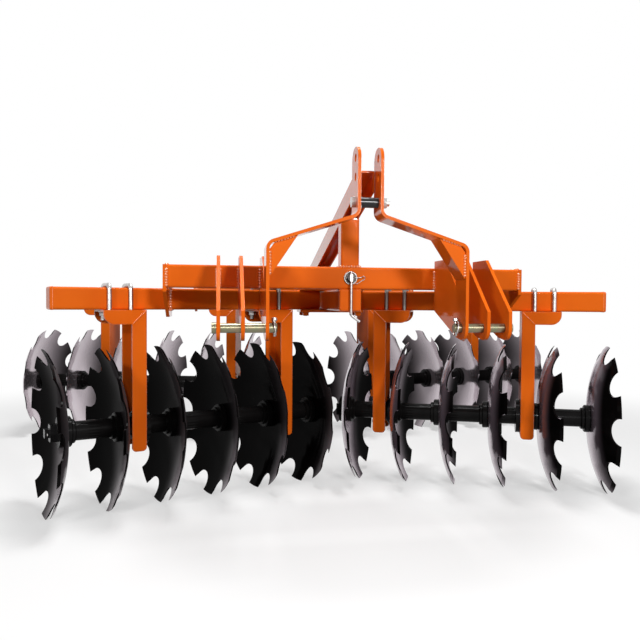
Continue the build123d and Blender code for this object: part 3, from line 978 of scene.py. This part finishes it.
@dataclass
class BearingHardware:
    """Bolts that hold each bearing to its hanger, and its grease nipple, in metres."""

    circle: float = 0.0535
    bolt: float = 0.004
    tail: float = 0.009
    flange: float = 0.012
    boss: float = 0.046
    nipple_out: float = 0.022

    def nipple(self) -> Piece:
        """Return a grease nipple that stands on Z."""
        base = Bench.cylinder(0.0042, 0.004, 6, -0.0006)
        Bench.chamfer(base, 0.0004)
        stem = Bench.cylinder(0.0026, 0.006, 12, 0.003)
        Bench.draw_out(stem, 1, ((0.0012, 1.25), (0.0018, 0.5)))
        return Bench.joined([base, stem], "nipple")

    def build(self, palette: Palette) -> None:
        """Fit every bearing of the four gangs."""
        for gang in Gang.all():
            places = []
            nipples = []
            for web in gang.webs():
                for quarter in range(4):
                    turn = pi / 4 + quarter * pi / 2
                    height = Layout.axle + self.circle * sin(turn)
                    spot = gang.point(web, self.circle * cos(turn), height)
                    places.append(frame_of(spot, UP, -gang.along))
                top = gang.point(web + Layout.hanger_wall + self.nipple_out, 0.0, Layout.axle + self.boss)
                nipples.append(frame_of(top, gang.along, UP))
            bolt = Bolt(self.bolt, Layout.hanger_wall + self.flange, self.tail).pattern()
            dress(Bench.placed(bolt, places, f"bearing_bolts_{gang.name}"), palette.zinc)
            dress(Bench.placed(self.nipple(), nipples, f"grease_nipples_{gang.name}"), palette.zinc)


@dataclass
class JointBolts:
    """Bolts through the plates, at backs behind the pins, that clamp the gang beams to the centre beam."""

    radius: float = 0.007
    tail: float = 0.014
    plate: float = 0.010
    out: float = 0.106
    reach: float = 0.058
    backs: tuple[float, float] = (0.706, 1.596)

    def build(self, palette: Palette) -> None:
        """Fit the bolts of both pairs of plates."""
        top = Layout.beam_top + self.plate
        for end, back in zip(End, self.backs):
            spots = [Vector((side.value * self.out, Layout.pins + back + y, top))
                     for side in Side for y in (-self.reach, self.reach)]
            bolt = Bolt(self.radius, Layout.tube + 2 * self.plate, self.tail).pattern()
            places = [frame_of(spot, RIGHT, UP) for spot in spots]
            piece = Bench.placed(bolt, places, f"joint_bolts_{end.value}")
            dress(piece, palette.paint)


def bent_wire(radius: float, points: Sequence[Point], name: str) -> Piece:
    """Return a smooth round wire.

    Args:
        radius: of the wire.
        points: the places that it passes near, from end to end.
        name: its name.

    Returns:
        The wire as a mesh.
    """
    Bench.clear()
    bpy.ops.curve.primitive_nurbs_path_add()
    line = bpy.context.object
    line.data.splines.clear()
    spline = line.data.splines.new("NURBS")
    spline.points.add(len(points) - 1)
    for spot, point in zip(spline.points, points):
        spot.co = (*point, 1.0)
    spline.order_u = 3
    spline.use_endpoint_u = True
    spline.resolution_u = 5
    line.data.dimensions = "3D"
    line.data.bevel_depth = radius
    line.data.bevel_resolution = 3
    line.data.use_fill_caps = True
    Bench.only(line)
    bpy.ops.object.convert(target="MESH")
    wire = bpy.context.object
    wire.name = name
    Bench.modify(wire, "WELD", merge_threshold=0.00005)
    return wire


@dataclass
class LynchPin:
    """Spring-ring pin through the inner end of each lower hitch pin, in metres.

    Attributes:
        open_angle: the degrees left open on either side of the ring's top.
        twist: how far the ring's ends stand off its plane.
    """

    shank: float = 0.0045
    overhang: float = 0.008
    ring: float = 0.024
    wire: float = 0.0021
    open_angle: float = 12.0
    twist: float = 0.004
    place: float = 0.2835
    hitch_pin: float = 0.0143
    lean: float = 0.12

    def shank_pin(self) -> Piece:
        """Return the pin with its collar and domed head, upright through the origin."""
        reach = self.hitch_pin + self.overhang
        pin = Bench.cylinder(self.shank, 2 * reach, 16, -reach)
        Bench.draw_out(pin, 1, ((0.0001, 1.9), (0.007, 1.0), (0.0025, 0.6)))
        Bench.draw_out(pin, -1, ((0.003, 0.5),))
        return pin

    def pattern(self) -> Piece:
        """Return the pin with its ring turned down round the hitch pin."""
        points = []
        for step in range(13):
            turn = pi / 2 + radians(self.open_angle) + step * radians(360.0 - 2 * self.open_angle) / 12
            points.append((self.twist * sin(turn), self.ring * cos(turn), self.ring * sin(turn)))
        ring = bent_wire(self.wire, points, "spring_ring")
        return Bench.joined([self.shank_pin(), ring], "lynch_pin")

    def build(self, palette: Palette) -> None:
        """Fit both pins."""
        for side in Side:
            spot = Vector((side.value * self.place, Layout.pins, Layout.pin_height))
            place = frame_of(spot, RIGHT * side.value, Vector((0, self.lean, 1)))
            piece = Bench.placed(self.pattern(), [place], f"lynch_pin_{side.name.lower()}")
            dress(piece, palette.zinc, angle=50.0)


@dataclass
class MastHardware:
    """Threads on the quick-hitch bolt, and the locking pin's clip on a path from the pin's axis."""

    bolt_height: float = 1.024
    bolt: float = 0.0095
    bolt_out: float = 0.0565
    tail: float = 0.0075
    clip: float = 0.0012
    clip_front: float = 0.013
    clip_path: tuple[Point, ...] = (
        (-0.018, 0.0, 0.0), (0.018, 0.0, 0.0), (0.034, 0.0, 0.001), (0.043, 0.0, 0.008),
        (0.050, 0.0, 0.001), (0.044, 0.0, -0.007), (0.034, 0.0, -0.010), (0.026, -0.001, -0.018),
        (0.014, -0.001, -0.021),
    )

    def build(self, palette: Palette) -> None:
        """Fit the small pieces at the mast."""
        spot = Vector((self.bolt_out, Layout.pins, self.bolt_height))
        threads = Bolt(self.bolt, 0.0, self.tail).shank()
        dress(Bench.placed(threads, [frame_of(spot, UP, -RIGHT)], "mast_bolt_threads"), palette.zinc)
        front = Layout.pins + Layout.tube_back - self.clip_front
        mid = Layout.beam_low + 1.5 * Layout.tube
        points = [(x, front + y, mid + z) for x, y, z in self.clip_path]
        dress(bent_wire(self.clip, points, "lock_pin_clip"), palette.clamp, angle=50.0)


@dataclass
class AxleLocks:
    """Split pins through the outer ends of the gang axles, in metres.

    Attributes:
        hub, nut, tail: from the last blade to the washer, on to the nut's face, and to the axle's end.
    """

    hub: float = 0.014
    nut: float = 0.026
    tail: float = 0.016
    inset: float = 0.008
    wire: float = 0.0019
    path: tuple[Point, ...] = (
        (0.0, -0.020, 0.0), (0.0, 0.021, 0.0), (0.001, 0.027, 0.003), (0.001, 0.032, 0.0),
        (0.001, 0.027, -0.003), (0.001, 0.020, -0.0012), (0.001, -0.020, -0.0012),
    )

    def build(self, palette: Palette) -> None:
        """Fit the ends of the four axles."""
        for gang in Gang.all():
            last = gang.first + 5 * gang.pitch + Layout.blade
            out = last + self.hub + self.nut + self.tail - self.inset
            place = frame_of(gang.point(out, 0.0, Layout.axle), gang.along, UP)
            pin = bent_wire(self.wire, self.path, "split_pin")
            piece = Bench.placed(pin, [place], f"split_pin_{gang.name}")
            dress(piece, palette.zinc, body=f"{gang.name}_gang", angle=50.0)


@dataclass(frozen=True)
class Lamp:
    """A square lamp that points at the machine: its width in metres and its power in watts."""

    name: str
    place: Point
    size: float
    power: float
    target: ClassVar[Point] = (0.0, 0.0, 0.5)

    def hang(self) -> None:
        """Hang the lamp."""
        data = bpy.data.lights.new(self.name, "AREA")
        data.size = self.size
        data.energy = self.power
        lamp = bpy.data.objects.new(self.name, data)
        bpy.context.collection.objects.link(lamp)
        lamp.location = self.place
        lamp.rotation_euler = (Vector(self.target) - Vector(self.place)).to_track_quat("-Z", "Y").to_euler()


@dataclass
class Studio:
    """Floor, light and camera.

    Attributes:
        fade: the distances from the middle at which the floor begins to whiten and is white.
        floor_glow: how much of the floor's look is plain white near the machine.
        floor_shade: its brightness as a surface that lights the machine.
        floor_pale: its brightness as the camera sees it.
        lamps: two main lamps before the machine, a small one for sharp highlights, and one above.
    """

    floor_half: float = 30.0
    fade: tuple[float, float] = (1.6, 3.4)
    floor_glow: float = 0.52
    floor_shade: Colour = (0.15, 0.15, 0.15)
    floor_pale: Colour = (0.86, 0.86, 0.86)
    soft_light: float = 0.05
    lamps: tuple[Lamp, ...] = (
        Lamp("key_lamp", (-3.1, -4.4, 1.75), 0.9, 70.0),
        Lamp("spark_lamp", (-0.5, -4.9, 1.75), 0.25, 24.0),
        Lamp("fill_lamp", (1.0, -4.8, 1.75), 0.6, 105.0),
        Lamp("top_lamp", (0.0, -0.3, 4.2), 1.4, 145.0),
    )
    camera_at: Point = (-0.445, -3.0587, 0.7239)
    yaw: float = 0.172
    pitch: float = -0.028
    roll: float = 0.007
    lens: float = 37.5
    shift_x: float = -0.0235

    def floor(self) -> None:
        """Lay a pale floor that turns white away from the machine."""
        Bench.clear()
        bpy.ops.mesh.primitive_plane_add(size=2 * self.floor_half, location=(0, 0, 0))
        floor = bpy.context.object
        floor.name = "studio_floor"
        shader = Shader("studio_floor_white")
        x, y, _ = shader.axes()
        far = ((x * x + y * y) ** 0.5).ramp(*self.fade)
        seen = shader.seen()
        pale = shader.blend(seen, self.floor_shade, self.floor_pale)
        shader.finish(Base_Color=pale, Roughness=0.9, Specular_IOR_Level=0.1)
        white = shader.node("ShaderNodeEmission", {"Color": WHITE, "Strength": 1.0})
        share = (self.floor_glow + (1.0 - self.floor_glow) * far) * seen
        layers = {0: share, 1: shader.surface.outputs[0], 2: white.outputs[0]}
        shader.feed(shader.output.inputs["Surface"], shader.node("ShaderNodeMixShader", layers).outputs[0])
        floor.data.materials.append(shader.material)

    def world(self) -> None:
        """Light the machine softly all round and show white behind it."""
        world = bpy.data.worlds.new("studio_world")
        bpy.context.scene.world = world
        tree = Tree(world)
        soft = tree.node("ShaderNodeBackground", {"Color": WHITE, "Strength": self.soft_light})
        white = tree.node("ShaderNodeBackground", {"Color": WHITE, "Strength": 1.0})
        layers = {0: tree.seen(), 1: soft.outputs[0], 2: white.outputs[0]}
        mix = tree.node("ShaderNodeMixShader", layers)
        tree.node("ShaderNodeOutputWorld", {"Surface": mix.outputs[0]})

    def camera(self) -> None:
        """Stand the camera where the photograph was taken from."""
        data = bpy.data.cameras.new("camera")
        data.lens = self.lens
        data.sensor_width = 36.0
        data.shift_x = self.shift_x
        camera = bpy.data.objects.new("camera", data)
        bpy.context.collection.objects.link(camera)
        look = Vector((sin(self.yaw) * cos(self.pitch), cos(self.yaw) * cos(self.pitch), sin(self.pitch)))
        turn = look.to_track_quat("-Z", "Y").to_matrix().to_4x4() @ Matrix.Rotation(self.roll, 4, "Z")
        camera.matrix_world = Matrix.Translation(self.camera_at) @ turn
        bpy.context.scene.camera = camera

    def build(self) -> None:
        """Set up the floor, the light and the camera."""
        self.floor()
        self.world()
        for lamp in self.lamps:
            lamp.hang()
        self.camera()
        bpy.context.scene.view_settings.view_transform = "Standard"
        LOG.info("studio ready")


def dress_solids(frame: dict[str, Any], palette: Palette) -> None:
    """Give every CAD node of the loaded frame its finish."""
    slots = {entry["node"]: entry["material_slot"] for entry in frame["record"]["subparts"]}
    for name, node in frame["nodes"].items():
        for material_slot in node.material_slots:
            material_slot.material = palette.of_node(name, slots[name])
        LOG.info("%s dressed", name)


def main() -> None:
    """Build the dressed machine and its studio."""
    logging.basicConfig(level=logging.INFO, format="%(message)s")
    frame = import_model()
    palette = Palette()
    dress_solids(frame, palette)
    FrameSeams().build(palette)
    for fitting in (ClampHardware, BearingHardware, JointBolts, LynchPin, MastHardware, AxleLocks):
        fitting().build(palette)
    Studio().build()


if __name__ == "__main__":
    main()
